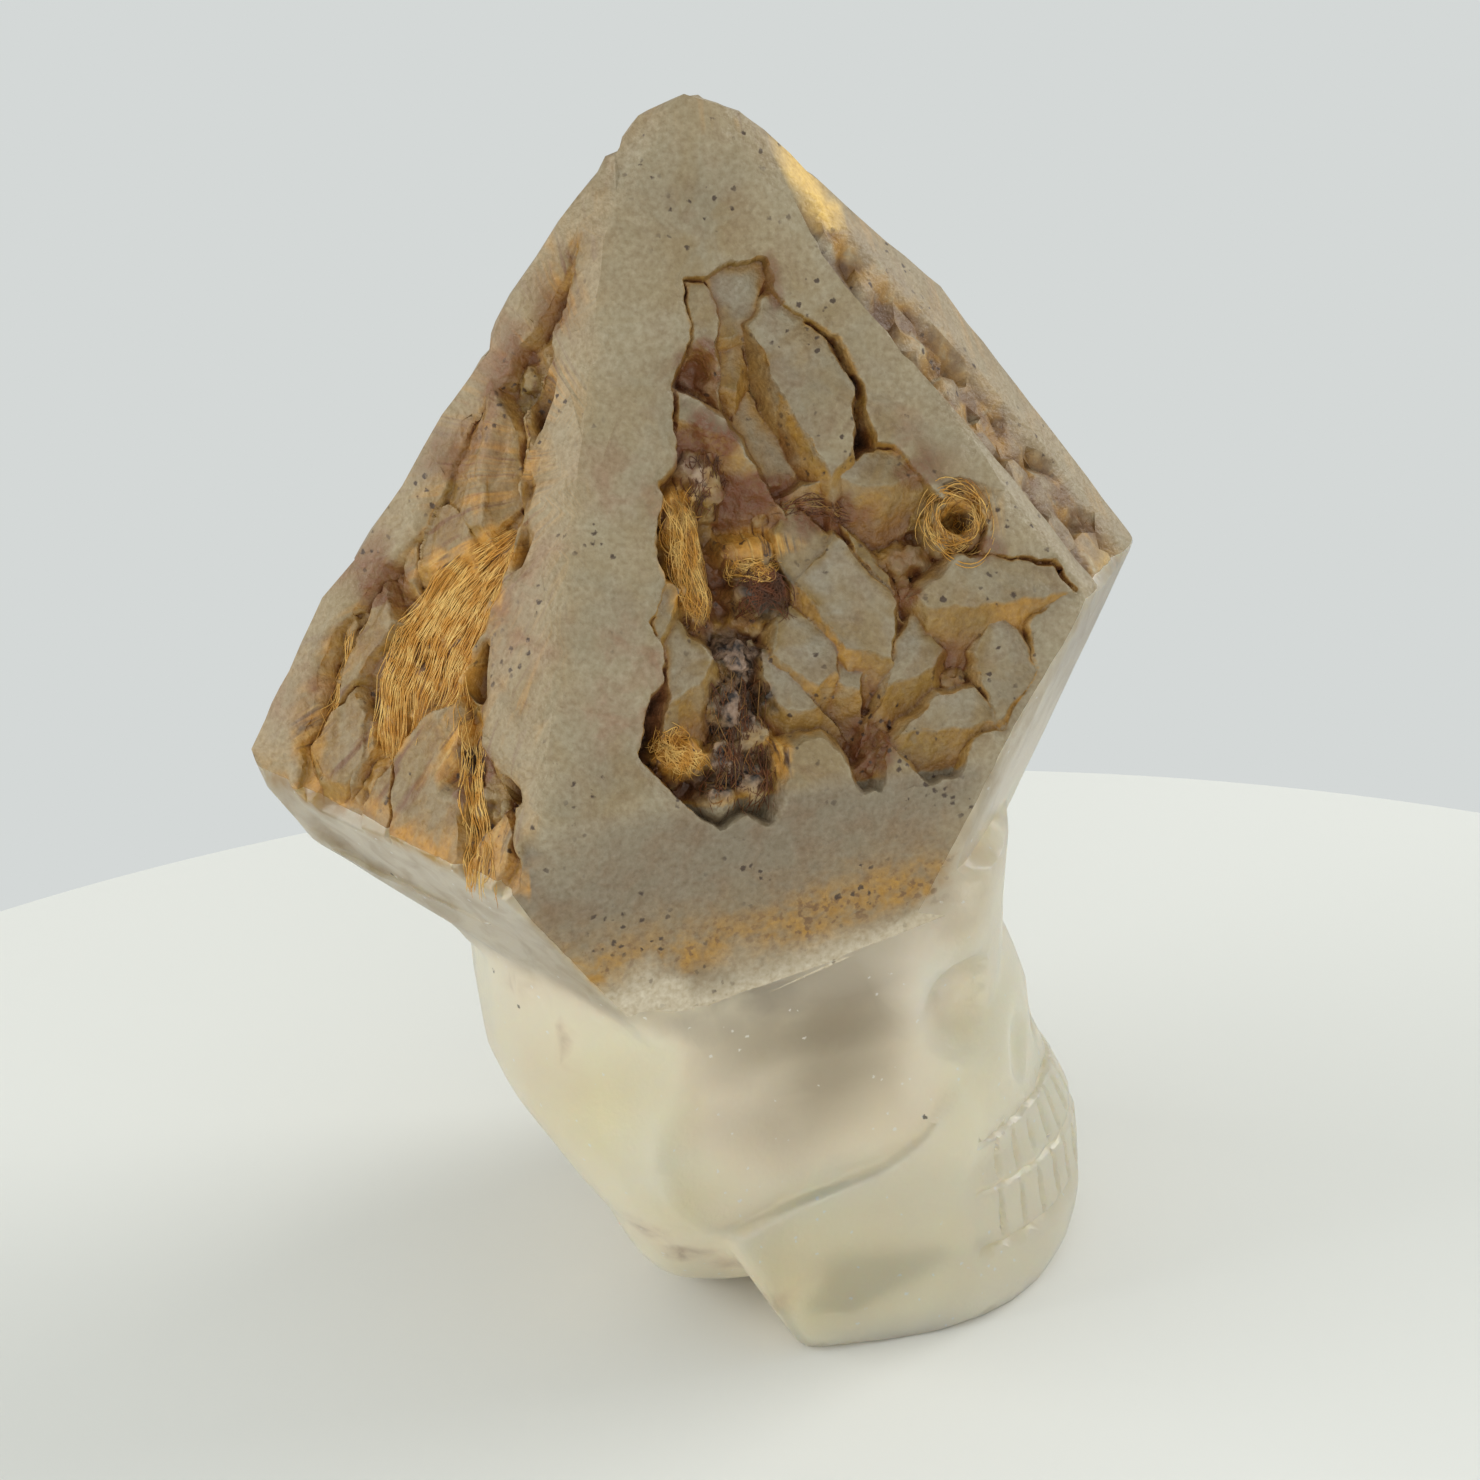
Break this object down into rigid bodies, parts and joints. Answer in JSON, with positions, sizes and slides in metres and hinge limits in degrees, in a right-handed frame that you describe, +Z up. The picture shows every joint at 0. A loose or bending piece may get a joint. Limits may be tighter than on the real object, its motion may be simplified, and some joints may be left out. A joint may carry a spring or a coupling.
{
  "type": "candle quartz skull",
  "caption": "Rough six-sided quartz crystal tip left over a skull carved from the same piece, resting on its jaw.",
  "frame": {"origin": "centre of the bounding box's footprint, on the plane that the jaw rests on", "axes": "+Z up along the crystal's long axis, +X the way the skull faces, +Y from the near side to the far side"},
  "size_m": [0.0834, 0.0662, 0.1155],
  "materials": {
    "quartz": "polished milky quartz below, rough iron-stained crystal faces above"
  },
  "bodies": {
    "root": {"candle_quartz_skull": "quartz"}
  },
  "joints": []
}
